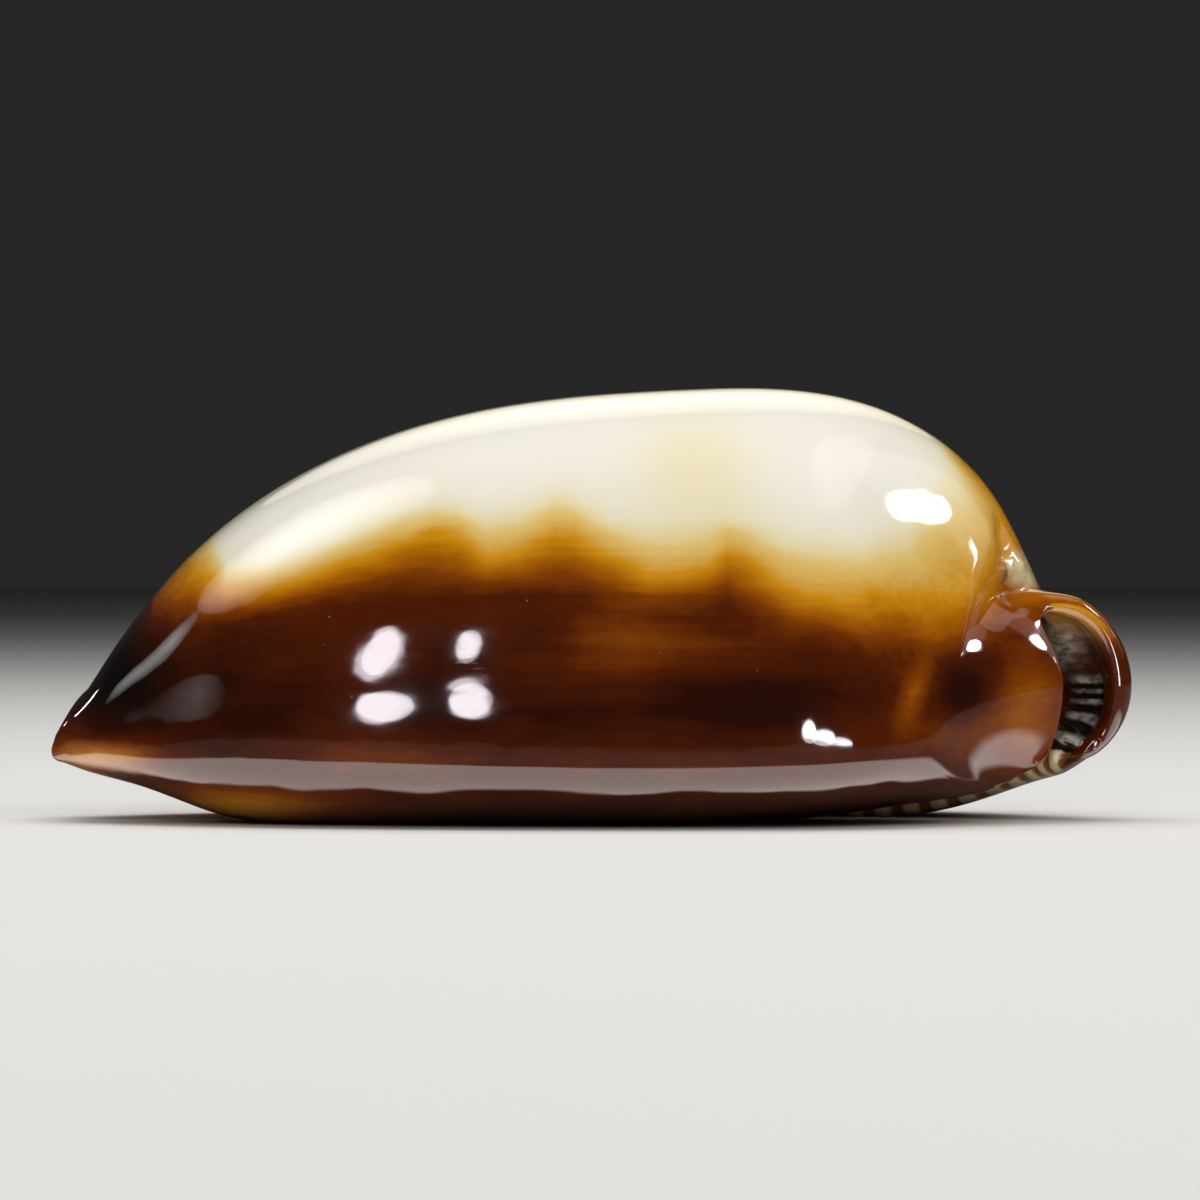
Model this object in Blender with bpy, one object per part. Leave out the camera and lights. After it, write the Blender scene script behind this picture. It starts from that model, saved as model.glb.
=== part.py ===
"""Mole cowrie shell, modelled as one thick wall rolled round a narrow toothed mouth.

The wall is swept along the shell from the front canal to the rear canal. Each
cross-section is a rounded dome over a flat base, open at the mouth, with the
cavity inside it. Towards the rear the sections turn about the upright, so the
rear canal opens backwards and to one side and its outer lip stands out as an ear.
Lengths in the tables are in millimetres; the mesh is written in metres.
X runs front to rear, +Y is the outer-lip side, -Y the inner-lip side, +Z the back.
"""
import bpy
import numpy as np

MM = 0.001
SHELL_LENGTH = 70.0
SHELL_WIDTH = 36.0
SHELL_HEIGHT = 28.1

# Hand-set lines of the shell, one row for each section along it:
# place, height of the back, lowest line on the outer-lip and inner-lip sides,
# half-breadth on the same two sides, height of the widest line on them, fullness.
SECTIONS = (
    (-33.6, 10.0, 3.7, 3.8, 4.6, 4.5, 5.9, 5.7, 0.03),
    (-32.0, 11.5, 3.0, 3.2, 6.6, 6.4, 5.5, 5.3, 0.04),
    (-29.0, 14.4, 2.1, 2.3, 9.4, 9.0, 5.0, 4.8, 0.05),
    (-24.5, 18.7, 0.5, 0.6, 12.5, 12.2, 4.6, 4.3, 0.05),
    (-18.0, 23.0, -0.3, -0.25, 15.2, 15.0, 4.5, 4.2, 0.05),
    (-8.0, 26.5, -0.3, -0.25, 17.4, 17.4, 4.6, 4.2, 0.05),
    (6.0, 28.0, -0.3, -0.25, 18.0, 18.0, 4.8, 4.3, 0.04),
    (16.0, 27.5, -0.3, 0.5, 17.0, 16.9, 5.0, 4.5, 0.01),
    (22.0, 24.9, 0.1, 1.5, 14.4, 15.0, 5.4, 4.9, -0.07),
    (25.5, 21.2, 1.5, 2.4, 10.6, 13.2, 6.2, 5.4, -0.16),
    (27.3, 17.3, 2.6, 3.0, 8.6, 12.0, 7.0, 5.9, -0.16),
    (28.5, 15.2, 3.3, 3.5, 7.9, 10.9, 7.7, 6.4, -0.06),
    (30.2, 15.0, 3.6, 3.8, 6.6, 8.6, 8.6, 7.1, 0.02),
    (31.8, 14.9, 3.8, 4.3, 4.4, 5.4, 9.0, 8.0, 0.03),
)

# Mouth.
GAP_HALF = 1.5
GAP_HALF_AT_ENDS = 2.0
GAP_OFFSET = 2.5
LIP_RUN = 3.6
LIP_RUN_AT_ENDS = 0.6
LIP_RISE = 2.2
LIP_RISE_AT_ENDS = 0.6
TOOTH_HEIGHT = 0.5
TOOTH_FADE = 3.0

# Wall.
WALL_SIDE = 2.6
WALL_FAR_AT_ENDS = 2.2
WALL_NEAR_AT_ENDS = 3.2
WALL_TOP = 1.6
WALL_TOP_AT_ENDS = 2.0
FLOOR_THICK = 4.4
FLOOR_THICK_AT_ENDS = 1.4
CORNER_RADIUS = 1.2

# Turn of the sections at the rear, and the curve of the two end rims.
TURN_START = 8.0
TURN_END = 31.8
TURN_ANGLE = np.radians(42.0)
REAR_SHIFT = -3.75
END_START_REAR = 26.5
END_START_FRONT = -26.0
FRONT_TIP = -33.6
BOW_TOP_REAR = 2.3
BOW_BASE_REAR = 2.2
BOW_TOP_FRONT = 1.0
BOW_BASE_FRONT = -0.6

# Groove down the rear face beside the covered spire, and its two small bumps.
GROOVE_LINE = (
    (24.6, -3.4, 21.6), (25.4, -2.8, 20.7), (26.3, -2.8, 19.3),
    (26.5, -3.3, 17.3), (26.6, -4.1, 15.3), (27.0, -6.0, 13.7),
)
GROOVE_DEPTH = 0.8
GROOVE_HALF = 1.9
BUMPS = ((27.7, -2.4, 16.9, 0.5), (28.9, -1.6, 15.7, 0.5))
BUMP_HALF = 1.0

# Mesh counts.
CELLS = 42
ROWS_PER_TOOTH = 4
STEEP_SHARE = 0.6
LIP_STEPS = 3
LOWER_STEPS = 5
UPPER_STEPS = 8
RIM_STEPS = 3
RIM_REACH = 0.667
RIM_AT_LIP = 1.2
RIM_OWN_WIDTH = 3.0
SHARPNESS = 2.2

SHELL_COLOUR = (0.30, 0.14, 0.05, 1.0)
SHELL_ROUGHNESS = 0.12


def spline(knots, values, places):
    """Return a cubic spline through the knots, free of bend at its two ends."""
    count = len(knots)
    step = np.diff(knots)
    slope = np.diff(values) / step
    matrix = np.eye(count)
    right = np.zeros(count)
    for i in range(1, count - 1):
        matrix[i, i - 1] = step[i - 1]
        matrix[i, i] = 2.0 * (step[i - 1] + step[i])
        matrix[i, i + 1] = step[i]
        right[i] = 6.0 * (slope[i] - slope[i - 1])
    bend = np.linalg.solve(matrix, right)
    i = np.clip(np.searchsorted(knots, places) - 1, 0, count - 2)
    after = places - knots[i]
    before = step[i] - after
    curve = (bend[i] * before ** 3 + bend[i + 1] * after ** 3) / (6.0 * step[i])
    line = values[i] * before / step[i] + values[i + 1] * after / step[i]
    return curve + line - step[i] * (bend[i] * before + bend[i + 1] * after) / 6.0


def ease(value, start, end):
    """Return a smooth step from 0 at start to 1 at end."""
    part = np.clip((value - start) / (end - start), 0.0, 1.0)
    return part * part * (3.0 - 2.0 * part)


def mix(near, far, part):
    """Return near where part is 0 and far where it is 1."""
    return near + (far - near) * part


def stations(count):
    """Return the section values at an even spacing along the shell."""
    table = np.array(SECTIONS)
    travel = np.hypot(np.diff(table[:, 0]), STEEP_SHARE * np.diff(table[:, 1]))
    knots = np.concatenate([[0.0], np.cumsum(travel)])
    at = np.linspace(0.0, knots[-1], count)
    names = ("place", "crest", "keel_far", "keel_near", "half_far", "half_near",
             "wide_far", "wide_near", "full")
    line = {name: spline(knots, table[:, i], at) for i, name in enumerate(names)}
    rear = ease(line["place"], END_START_REAR, TURN_END)
    front = ease(-line["place"], -END_START_FRONT, -FRONT_TIP)
    line["end"] = np.maximum(rear, front)
    line["rear"] = rear
    line["front"] = front
    part = np.clip((line["place"] - TURN_START) / (TURN_END - TURN_START), 0.0, 1.0)
    line["turn"] = part * part
    line["gap_mid"] = GAP_OFFSET * (1.0 - line["turn"]) * (1.0 - front)
    return {name: values[:, None] for name, values in line.items()}


def quarter(steps):
    """Return the two factors of a rounded quarter bend, in even steps of angle."""
    angle = np.linspace(0.0, np.pi / 2.0, steps + 1)
    power = 2.0 / SHARPNESS
    return np.abs(np.cos(angle)) ** power, np.abs(np.sin(angle)) ** power


def dome(steps, full):
    """Return the two factors of the upper part of a section, widest line to crest."""
    angle = np.linspace(0.0, np.pi / 2.0, steps + 1)
    rise = (np.sin(angle) + full * np.sin(3.0 * angle)) / (1.0 - full)
    return np.cos(angle), rise


def half_section(line, sign, half, keel, wide, tooth):
    """Return one side of the sections, as outer and inner paths from lip edge to crest."""
    end = line["end"]
    lip = sign * line["gap_mid"] + mix(GAP_HALF, GAP_HALF_AT_ENDS, end)
    run = mix(LIP_RUN, LIP_RUN_AT_ENDS, end)
    rise = mix(LIP_RISE, LIP_RISE_AT_ENDS, end)
    foot = lip + run
    across, up = quarter(LIP_STEPS)
    roll = np.stack([foot - run * across, keel + rise * (1.0 - up)], -1)
    out, down = quarter(LOWER_STEPS)
    low = np.stack([foot + (half - foot) * out[::-1], wide - (wide - keel) * down[::-1]], -1)
    side, lift = dome(UPPER_STEPS, line["full"])
    high = np.stack([half * side, wide + (line["crest"] - wide) * lift], -1)
    outer = np.concatenate([roll[:, :-1], low[:, :-1], high], 1)

    bend = mix(CORNER_RADIUS, 0.1, end)
    floor = keel + mix(FLOOR_THICK, FLOOR_THICK_AT_ENDS, end)
    roof = line["crest"] - mix(WALL_TOP, WALL_TOP_AT_ENDS, end)
    wall_end = WALL_FAR_AT_ENDS if sign > 0.0 else WALL_NEAR_AT_ENDS
    room = np.maximum(half - mix(WALL_SIDE, wall_end, end), lip + bend + 0.05)
    middle = np.maximum(wide, floor + 0.25 * (roof - floor))
    straight = np.linspace(0.0, 1.0, LIP_STEPS // 2 + 1)[:-1]
    wall = np.stack([lip + 0.0 * straight, mix(keel + rise, floor - bend, straight)], -1)
    turn = np.linspace(0.0, np.pi / 2.0, LIP_STEPS - LIP_STEPS // 2 + 1)[:-1]
    corner = np.stack([lip + bend * (1.0 - np.cos(turn)), floor - bend * (1.0 - np.sin(turn))], -1)
    start = lip + bend
    low = np.stack([start + (room - start) * out[::-1], middle - (middle - floor) * down[::-1]], -1)
    high = np.stack([room * side, middle + (roof - middle) * lift], -1)
    inner = np.concatenate([wall, corner, low[:, :-1], high], 1)

    # Each tooth is a low ridge round the lip, strongest at its edge.
    strip = np.concatenate([outer[:, LIP_STEPS:0:-1], inner[:, :LIP_STEPS + 1]], 1)
    along = np.gradient(strip, axis=1)
    along /= np.linalg.norm(along, axis=2)[..., None] + 1e-9
    facing = np.stack([along[..., 1], -along[..., 0]], -1)
    facing *= -np.sign(facing[:, LIP_STEPS:LIP_STEPS + 1, :1])
    grow = np.sin(np.linspace(0.0, np.pi, 2 * LIP_STEPS + 1)) ** 2
    strip = strip + facing * (tooth * grow)[..., None]
    outer[:, LIP_STEPS:0:-1] = strip[:, :LIP_STEPS]
    inner[:, :LIP_STEPS + 1] = strip[:, LIP_STEPS:]
    outer[:, 0] = inner[:, 0]
    return outer * (sign, 1.0), inner * (sign, 1.0)


def in_space(path, line):
    """Return section points placed in space, each section turned and bowed at the ends."""
    across, height = path[..., 0], path[..., 1]
    turn = TURN_ANGLE * line["turn"]
    keel = 0.5 * (line["keel_far"] + line["keel_near"])
    wide = 0.5 * (line["wide_far"] + line["wide_near"])
    above = np.clip((height - wide) / (line["crest"] - wide), 0.0, 1.2) ** 2
    below = np.clip((wide - height) / (wide - keel), 0.0, 1.2) ** 2
    bow = line["front"] * (BOW_TOP_FRONT * above + BOW_BASE_FRONT * below)
    bow = bow - line["rear"] * (BOW_TOP_REAR * above + BOW_BASE_REAR * below)
    x = line["place"] + bow + across * np.sin(turn)
    y = REAR_SHIFT * line["turn"] + across * np.cos(turn)
    return np.stack([x, y, height], -1)


def joined(outer, inner):
    """Return closed rings from the outer paths and the inner paths run back."""
    return np.concatenate([outer, inner[:, -2:0:-1]], 1)


def rim(outer, inner):
    """Return the rows that round the wall off beyond its last row.

    Each column follows a curve that leaves along the outer face, turns over the
    edge and comes back along the inner face; both halves meet on its middle.
    Next to the lip edges all columns leave along the canal instead.
    """
    width = np.linalg.norm(inner[-1] - outer[-1], axis=1, keepdims=True)
    reach = RIM_REACH * np.hypot(width, RIM_AT_LIP)
    own = ease(width, 0.0, RIM_OWN_WIDTH)
    ways = []
    along = (inner[-1] - inner[-2]).mean(axis=0)
    along /= np.linalg.norm(along)
    for face in (outer, inner):
        way = face[-1] - face[-2]
        way = mix(along, way / np.linalg.norm(way, axis=1, keepdims=True), own)
        ways.append(way / np.linalg.norm(way, axis=1, keepdims=True))
    first, second = outer[-1] + reach * ways[0], inner[-1] + reach * ways[1]

    def curve(part):
        rest = 1.0 - part
        return (rest ** 3 * outer[-1] + 3.0 * rest ** 2 * part * first
                + 3.0 * rest * part ** 2 * second + part ** 3 * inner[-1])

    parts = 0.5 * np.arange(1, RIM_STEPS + 1) / RIM_STEPS
    return joined(np.array([curve(p) for p in parts]), np.array([curve(1.0 - p) for p in parts]))


def carve(points, outer_count):
    """Return the rings with the rear groove cut in and its two bumps raised."""
    facing = np.cross(np.gradient(points, axis=0), np.gradient(points, axis=1))
    facing /= np.linalg.norm(facing, axis=2)[..., None] + 1e-9
    away = points - points.mean(axis=1, keepdims=True)
    facing *= np.sign(np.sum(facing * away, axis=2))[..., None]
    line = np.array(GROOVE_LINE)
    near = np.full(points.shape[:2], np.inf)
    for start, stop in zip(line[:-1], line[1:]):
        span = stop - start
        part = np.clip(((points - start) @ span) / (span @ span), 0.0, 1.0)
        near = np.minimum(near, np.linalg.norm(points - start - part[..., None] * span, axis=2))
    lift = -GROOVE_DEPTH * np.exp(-(near / GROOVE_HALF) ** 2)
    for x, y, z, height in BUMPS:
        reach = np.linalg.norm(points - (x, y, z), axis=2)
        lift = lift + height * np.exp(-(reach / BUMP_HALF) ** 2)
    lift[:, outer_count:] = 0.0
    return points + facing * lift[..., None]


def shell_rows():
    """Return every row of the wall as rings of points, with the outer point count."""
    count = CELLS * ROWS_PER_TOOTH + 1
    line = stations(count)
    wave = 0.5 - 0.5 * np.cos(2.0 * np.pi * np.arange(count) / ROWS_PER_TOOTH)
    from_end = np.minimum(line["place"] - FRONT_TIP, TURN_END - line["place"])
    tooth = TOOTH_HEIGHT * wave[:, None] * ease(from_end, 0.5, TOOTH_FADE)
    far = half_section(line, 1.0, line["half_far"], line["keel_far"], line["wide_far"], tooth)
    near = half_section(line, -1.0, line["half_near"], line["keel_near"], line["wide_near"], tooth)
    outer = np.concatenate([far[0], near[0][:, -2::-1]], 1)
    inner = np.concatenate([far[1], near[1][:, -2::-1]], 1)
    outer, inner = in_space(outer, line), in_space(inner, line)
    front = rim(outer[::-1], inner[::-1])[::-1]
    rear = rim(outer, inner)
    body = joined(outer, inner)
    return carve(np.concatenate([front, body, rear]), outer.shape[1]), outer.shape[1]


def shell_faces(rows, outer_count, ring):
    """Return the faces, fine along the two lips and coarse over the rest."""
    inner_of = {outer_count + i: outer_count - 2 - i for i in range(ring - outer_count)}
    last = outer_count - 1
    fine = set(range(LIP_STEPS)) | set(range(last - LIP_STEPS, last))
    fine |= set(range(last, last + LIP_STEPS)) | set(range(ring - LIP_STEPS, ring))
    start = RIM_STEPS
    stop = rows - 1 - RIM_STEPS
    coarse_rows = list(range(start)) + list(range(start, stop, ROWS_PER_TOOTH)) + list(range(stop, rows))

    def point(row, column):
        column %= ring
        if row in (0, rows - 1):
            column = inner_of.get(column, column)
        return row * ring + column

    faces = []
    for column in range(ring):
        beside = column + 1
        if column in fine:
            for row in range(rows - 1):
                faces.append((point(row, column), point(row, beside),
                              point(row + 1, beside), point(row + 1, column)))
            continue
        for low, high in zip(coarse_rows[:-1], coarse_rows[1:]):
            between = range(low + 1, high)
            corner = [point(low, column), point(low, beside)]
            if (beside % ring) in fine:
                corner += [point(row, beside) for row in between]
            corner += [point(high, beside), point(high, column)]
            if ((column - 1) % ring) in fine:
                corner += [point(row, column) for row in reversed(between)]
            faces.append(tuple(corner))
    return faces


def thin_triangles(faces, points):
    """Return the faces as triangles, fanned from the corner farthest from its neighbours."""
    triangles = []
    for face in faces:
        ring = [p for i, p in enumerate(face) if p != face[i - 1]]
        if len(ring) > 4:
            at = points[ring]
            spans = np.linalg.norm(at - np.roll(at, 1, axis=0), axis=1)
            first = int(np.argmax(spans + np.roll(spans, -1)))
            ring = ring[first:] + ring[:first]
        for i in range(1, len(ring) - 1):
            triangles.append((ring[0], ring[i], ring[i + 1]))
    return triangles


def fitted(points):
    """Return the points cut flat at the base and scaled to the driving sizes."""
    points = points.copy()
    points[..., 2] = np.maximum(points[..., 2], 0.0)
    flat = points.reshape(-1, 3)
    low = flat.min(axis=0)
    high = flat.max(axis=0)
    middle = 0.5 * (low + high)
    middle[2] = low[2]
    size = np.array((SHELL_LENGTH, SHELL_WIDTH, SHELL_HEIGHT))
    return (points - middle) * (size / (high - low))


def finish(name):
    """Return the plain brown glossy material of the shell."""
    material = bpy.data.materials.new(name)
    material.use_nodes = True
    shader = material.node_tree.nodes["Principled BSDF"]
    shader.inputs["Base Color"].default_value = SHELL_COLOUR
    shader.inputs["Roughness"].default_value = SHELL_ROUGHNESS
    shader.inputs["Metallic"].default_value = 0.0
    return material


def build_shell():
    """Build the shell object in the scene."""
    points, outer_count = shell_rows()
    rows, ring = points.shape[:2]
    points = fitted(points).reshape(-1, 3) * MM
    triangles = thin_triangles(shell_faces(rows, outer_count, ring), points)
    used = np.unique(np.array(triangles))
    order = {int(old): new for new, old in enumerate(used)}
    mesh = bpy.data.meshes.new("shell")
    mesh.from_pydata(points[used].tolist(), [], [tuple(order[p] for p in t) for t in triangles])
    mesh.materials.append(finish("shell"))
    mesh.shade_smooth()
    shell = bpy.data.objects.new("shell", mesh)
    bpy.context.scene.collection.objects.link(shell)
    return shell


for old in list(bpy.data.objects):
    bpy.data.objects.remove(old)
build_shell()
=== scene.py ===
"""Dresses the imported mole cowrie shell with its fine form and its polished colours.

One mesh stands for the whole shell. Its surface is a grid with one parameter along
the shell and one round its wall, over the outer face and back over the inner face.
Lengths in the tables are in millimetres and the mesh is in metres, in the frame of
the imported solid: X runs front to rear, +Y is the outer-lip (far) side, -Y the
inner-lip (near) side, and +Z is the back of the shell.
"""

import logging
from dataclasses import dataclass
from enum import Enum

import bpy
import numpy as np
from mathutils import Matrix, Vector


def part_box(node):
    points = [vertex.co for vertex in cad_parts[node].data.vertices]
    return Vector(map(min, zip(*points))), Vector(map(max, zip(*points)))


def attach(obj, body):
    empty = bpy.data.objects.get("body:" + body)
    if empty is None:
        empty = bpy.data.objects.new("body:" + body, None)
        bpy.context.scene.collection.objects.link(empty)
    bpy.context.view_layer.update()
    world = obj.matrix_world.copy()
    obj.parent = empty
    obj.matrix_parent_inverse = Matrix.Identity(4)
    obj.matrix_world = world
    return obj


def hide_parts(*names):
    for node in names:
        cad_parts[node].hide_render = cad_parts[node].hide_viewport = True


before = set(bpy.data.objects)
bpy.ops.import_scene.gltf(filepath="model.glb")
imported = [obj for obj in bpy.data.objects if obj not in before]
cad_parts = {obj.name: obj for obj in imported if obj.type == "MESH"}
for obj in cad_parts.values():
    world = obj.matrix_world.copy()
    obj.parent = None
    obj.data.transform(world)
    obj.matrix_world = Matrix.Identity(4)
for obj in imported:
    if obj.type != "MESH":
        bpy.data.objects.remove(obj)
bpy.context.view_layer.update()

LOG = logging.getLogger("mole_cowrie")
MM = 0.001


class Side(Enum):
    """The two sides of the mouth, with the sign of their direction across it."""

    FAR = 1.0
    NEAR = -1.0


def spline(knots: np.ndarray, values: np.ndarray, places: np.ndarray) -> np.ndarray:
    """Return a cubic spline through the knots, free of bend at its two ends.

    The bends at the knots solve the usual tridiagonal system, and each span is the
    straight line between its knots plus the cubic part of the two bends.

    Args:
        knots: Rising places of the knots.
        values: Value at each knot.
        places: Where the spline is read.

    Returns:
        The spline's value at each place.
    """
    step = np.diff(knots)
    slope = np.diff(values) / step
    matrix = np.eye(len(knots))
    inner = np.arange(1, len(knots) - 1)
    matrix[inner, inner - 1] = step[:-1]
    matrix[inner, inner] = 2.0 * (step[:-1] + step[1:])
    matrix[inner, inner + 1] = step[1:]
    right = np.zeros(len(knots))
    right[inner] = 6.0 * np.diff(slope)
    bend = np.linalg.solve(matrix, right)
    span = np.clip(np.searchsorted(knots, places) - 1, 0, len(knots) - 2)
    after = places - knots[span]
    before = step[span] - after
    cubic = (bend[span] * before ** 3 + bend[span + 1] * after ** 3) / (6.0 * step[span])
    line = values[span] * before / step[span] + values[span + 1] * after / step[span]
    return cubic + line - step[span] * (bend[span] * before + bend[span + 1] * after) / 6.0


def ease(value: np.ndarray, start: float, end: float) -> np.ndarray:
    """Return a smooth step, 3t^2 - 2t^3, from 0 at start to 1 at end."""
    part = np.clip((value - start) / (end - start), 0.0, 1.0)
    return part * part * (3.0 - 2.0 * part)


def mix(first: np.ndarray, second: np.ndarray, part: np.ndarray) -> np.ndarray:
    """Return first where part is 0 and second where it is 1."""
    return first + (second - first) * part


def bell(distance: np.ndarray, width: float) -> np.ndarray:
    """Return a bell curve, 1 at distance 0 and 1/e at the width."""
    return np.exp(-(distance / width) ** 2)


def unit(vectors: np.ndarray) -> np.ndarray:
    """Return the vectors along the last axis at length 1."""
    return vectors / (np.linalg.norm(vectors, axis=-1, keepdims=True) + 1e-9)


@dataclass(frozen=True)
class Crease:
    """The fold down the rear face, where the last whorl laps over the covered spire."""

    line: tuple = (
        (25.4, -2.9, 20.6), (25.85, -2.8, 19.3), (26.1, -3.0, 17.8), (26.2, -3.6, 16.2),
        (26.4, -4.5, 14.8), (26.9, -6.0, 13.7),
    )
    depth: float = 0.4
    body_width: float = 0.3
    spire_width: float = 0.9
    fade: float = 1.6
    shade_width: float = 0.22
    steps: int = 12

    def lift(self, points: np.ndarray) -> tuple[np.ndarray, np.ndarray]:
        """Return how far the fold moves each point outward, and how dark its painted shade makes it.

        The fold is a bell-shaped cut about a smooth line. It is steep towards the body
        and gentle towards the spire, and it runs out to nothing at both ends.

        Args:
            points: Points in millimetres, of any grid shape.

        Returns:
            The move in millimetres, below 0 in the fold, and the painted shade's darkness from 0 to 1.
        """
        hand = np.array(self.line)
        count = len(hand)
        at = np.linspace(0.0, count - 1.0, self.steps * count)
        line = np.stack([spline(np.arange(count) * 1.0, hand[:, i], at) for i in range(3)], -1)
        apart = points[..., None, :] - line
        reach = np.linalg.norm(apart, axis=-1)
        nearest = reach.argmin(axis=-1)
        gap = np.take_along_axis(reach, nearest[..., None], -1)[..., 0]
        rearward = np.take_along_axis(apart[..., 0], nearest[..., None], -1)[..., 0] > 0.0
        travel = at[nearest]
        ends = ease(travel, 0.0, self.fade) * ease(-travel, -(count - 1.0), 0.5 * self.fade - count + 1.0)
        width = np.where(rearward, self.spire_width, self.body_width)
        return -self.depth * ends * bell(gap, width), ends * bell(gap, self.shade_width)


@dataclass(frozen=True)
class Lump:
    """A low rounded swelling of the callus."""

    centre: tuple
    reach: float
    height: float

    def lift(self, points: np.ndarray) -> np.ndarray:
        """Return the outward move of each point, a bell of the distance to the centre."""
        return self.height * bell(np.linalg.norm(points - self.centre, axis=-1), self.reach)


@dataclass
class ShellForm:
    """The shape of the shell's wall, as rings of points from the front to the rear.

    Each pair for the gap, the lips and the wall has its value along the middle of the
    shell and then the one at both ends. Each pair for a bow is for the top and the base.
    """

    sections: tuple = (
        (-33.6, 8.7, 3.7, 3.8, 4.6, 4.5, 5.6, 5.4, 0.03),
        (-32.0, 11.1, 3.0, 3.2, 6.6, 6.4, 5.5, 5.3, 0.04),
        (-29.0, 14.4, 2.1, 2.3, 9.4, 9.0, 5.0, 4.8, 0.05),
        (-24.5, 18.7, 0.5, 0.6, 12.5, 12.2, 4.8, 5.1, 0.05),
        (-18.0, 23.0, -0.3, -0.25, 15.2, 15.0, 4.8, 5.0, 0.05),
        (-8.0, 26.5, -0.3, -0.25, 17.4, 17.4, 4.7, 4.5, 0.05),
        (6.0, 28.0, -0.3, -0.25, 18.0, 18.0, 4.8, 4.3, 0.04),
        (16.0, 27.5, -0.3, 0.5, 17.0, 16.9, 5.0, 4.5, 0.01),
        (22.0, 24.9, 0.6, 1.3, 14.4, 15.0, 5.4, 4.9, -0.07),
        (25.5, 21.2, 2.05, 1.8, 10.6, 13.2, 6.2, 5.4, -0.16),
        (27.3, 17.3, 2.7, 2.2, 8.6, 12.0, 7.0, 5.9, -0.16),
        (28.5, 15.2, 2.95, 2.5, 7.9, 10.9, 7.7, 6.4, -0.06),
        (30.2, 15.0, 3.4, 2.7, 6.6, 8.6, 8.6, 7.1, 0.02),
        (31.8, 14.9, 4.0, 3.2, 4.4, 5.4, 9.0, 8.0, 0.03),
    )
    columns: tuple = ("place", "crest", "keel_far", "keel_near", "half_far", "half_near",
                      "wide_far", "wide_near", "full")
    steep_share: float = 0.6
    sharpness: float = 2.2

    gap_half: tuple = (1.5, 2.0)
    gap_offset: float = 2.5
    lip_run: tuple = (3.6, 0.6)
    lip_rise: tuple = (2.2, 0.6)
    tooth_height: float = 0.5
    tooth_start: float = 0.5
    tooth_fade: float = 3.0
    tooth_power: float = 0.8
    teeth: int = 42

    wall_far: tuple = (2.6, 2.2)
    wall_near: tuple = (2.6, 3.2)
    wall_top: tuple = (1.6, 1.4)
    floor: tuple = (4.4, 1.4)
    corner: tuple = (1.2, 0.1)
    least_room: float = 0.05
    least_middle: float = 0.25

    turn_start: float = 8.0
    turn_end: float = 31.8
    turn_angle: float = np.radians(42.0)
    rear_shift: float = -3.75
    end_rear: float = 26.5
    end_front: float = -26.0
    front_tip: float = -33.6
    bow_front: tuple = (1.0, -0.6)
    bow_rear: tuple = (2.3, 2.2)
    bow_near: tuple = (5.4, 1.5)
    bow_limit: float = 1.2
    back_near: float = 0.9
    near_blend: float = 2.0

    rim_reach: float = 0.667
    rim_at_lip: float = 1.2
    rim_own_width: float = 3.0

    rows_per_tooth: int = 8
    lip_steps: int = 14
    lower_steps: int = 26
    upper_steps: int = 28
    rim_steps: int = 8

    ear_teeth: tuple = (3.5, 4.6, 5.8, 6.9, 7.7, 8.35, 9.0)
    ear_tooth_height: float = 0.26
    ear_tooth_from: float = 28.2
    ear_tooth_to: float = 31.2
    ear_tooth_slope: float = 0.25
    ear_slope_fade: float = 2.0
    ear_tooth_ramps: tuple = (0.8, 0.4)
    ear_top_fade: tuple = (0.1, 0.5)
    ear_ridge_height: float = 0.2
    ear_ridge_width: float = 0.25
    ear_ridge_from: tuple = (5.0, 6.0)
    ear_ridge_fade: float = 0.8
    cloud_at: tuple = (29.6, 11.4)
    cloud_reach: tuple = (1.7, 1.3)

    crease: Crease = Crease()
    lumps: tuple = (
        Lump((27.6, -2.6, 16.3), 1.2, 0.35),
        Lump((27.75, -2.3, 16.7), 0.45, 0.3),
        Lump((29.0, -1.5, 15.5), 0.45, 0.34),
    )

    def stations(self) -> dict[str, np.ndarray]:
        """Return the values that set each row, as columns of one number for each row.

        Each line of the section table is a spline over the travel along the shell, in
        which a fall of the back counts in part, so that rows crowd on steep stretches.

        Returns:
            The named values, each of shape (rows, 1).
        """
        table = np.array(self.sections)
        travel = np.hypot(np.diff(table[:, 0]), self.steep_share * np.diff(table[:, 1]))
        knots = np.concatenate([[0.0], np.cumsum(travel)])
        at = np.linspace(0.0, knots[-1], self.teeth * self.rows_per_tooth + 1)
        line = {name: spline(knots, table[:, i], at) for i, name in enumerate(self.columns)}
        place = line["place"]
        rear = ease(place, self.end_rear, self.turn_end)
        front = ease(-place, -self.end_front, -self.front_tip)
        turn = np.clip((place - self.turn_start) / (self.turn_end - self.turn_start), 0.0, 1.0) ** 2
        line.update(rear=rear, front=front, end=np.maximum(rear, front), turn=turn)
        line["gap_mid"] = self.gap_offset * (1.0 - turn) * (1.0 - front)
        from_end = np.minimum(place - self.front_tip, self.turn_end - place)
        line["teeth"] = ease(from_end, self.tooth_start, self.tooth_fade)
        cells = np.arange(len(place)) / self.rows_per_tooth
        line["wave"] = (0.5 - 0.5 * np.cos(2.0 * np.pi * cells)) ** self.tooth_power
        return {name: values[:, None] for name, values in line.items()}

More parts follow.
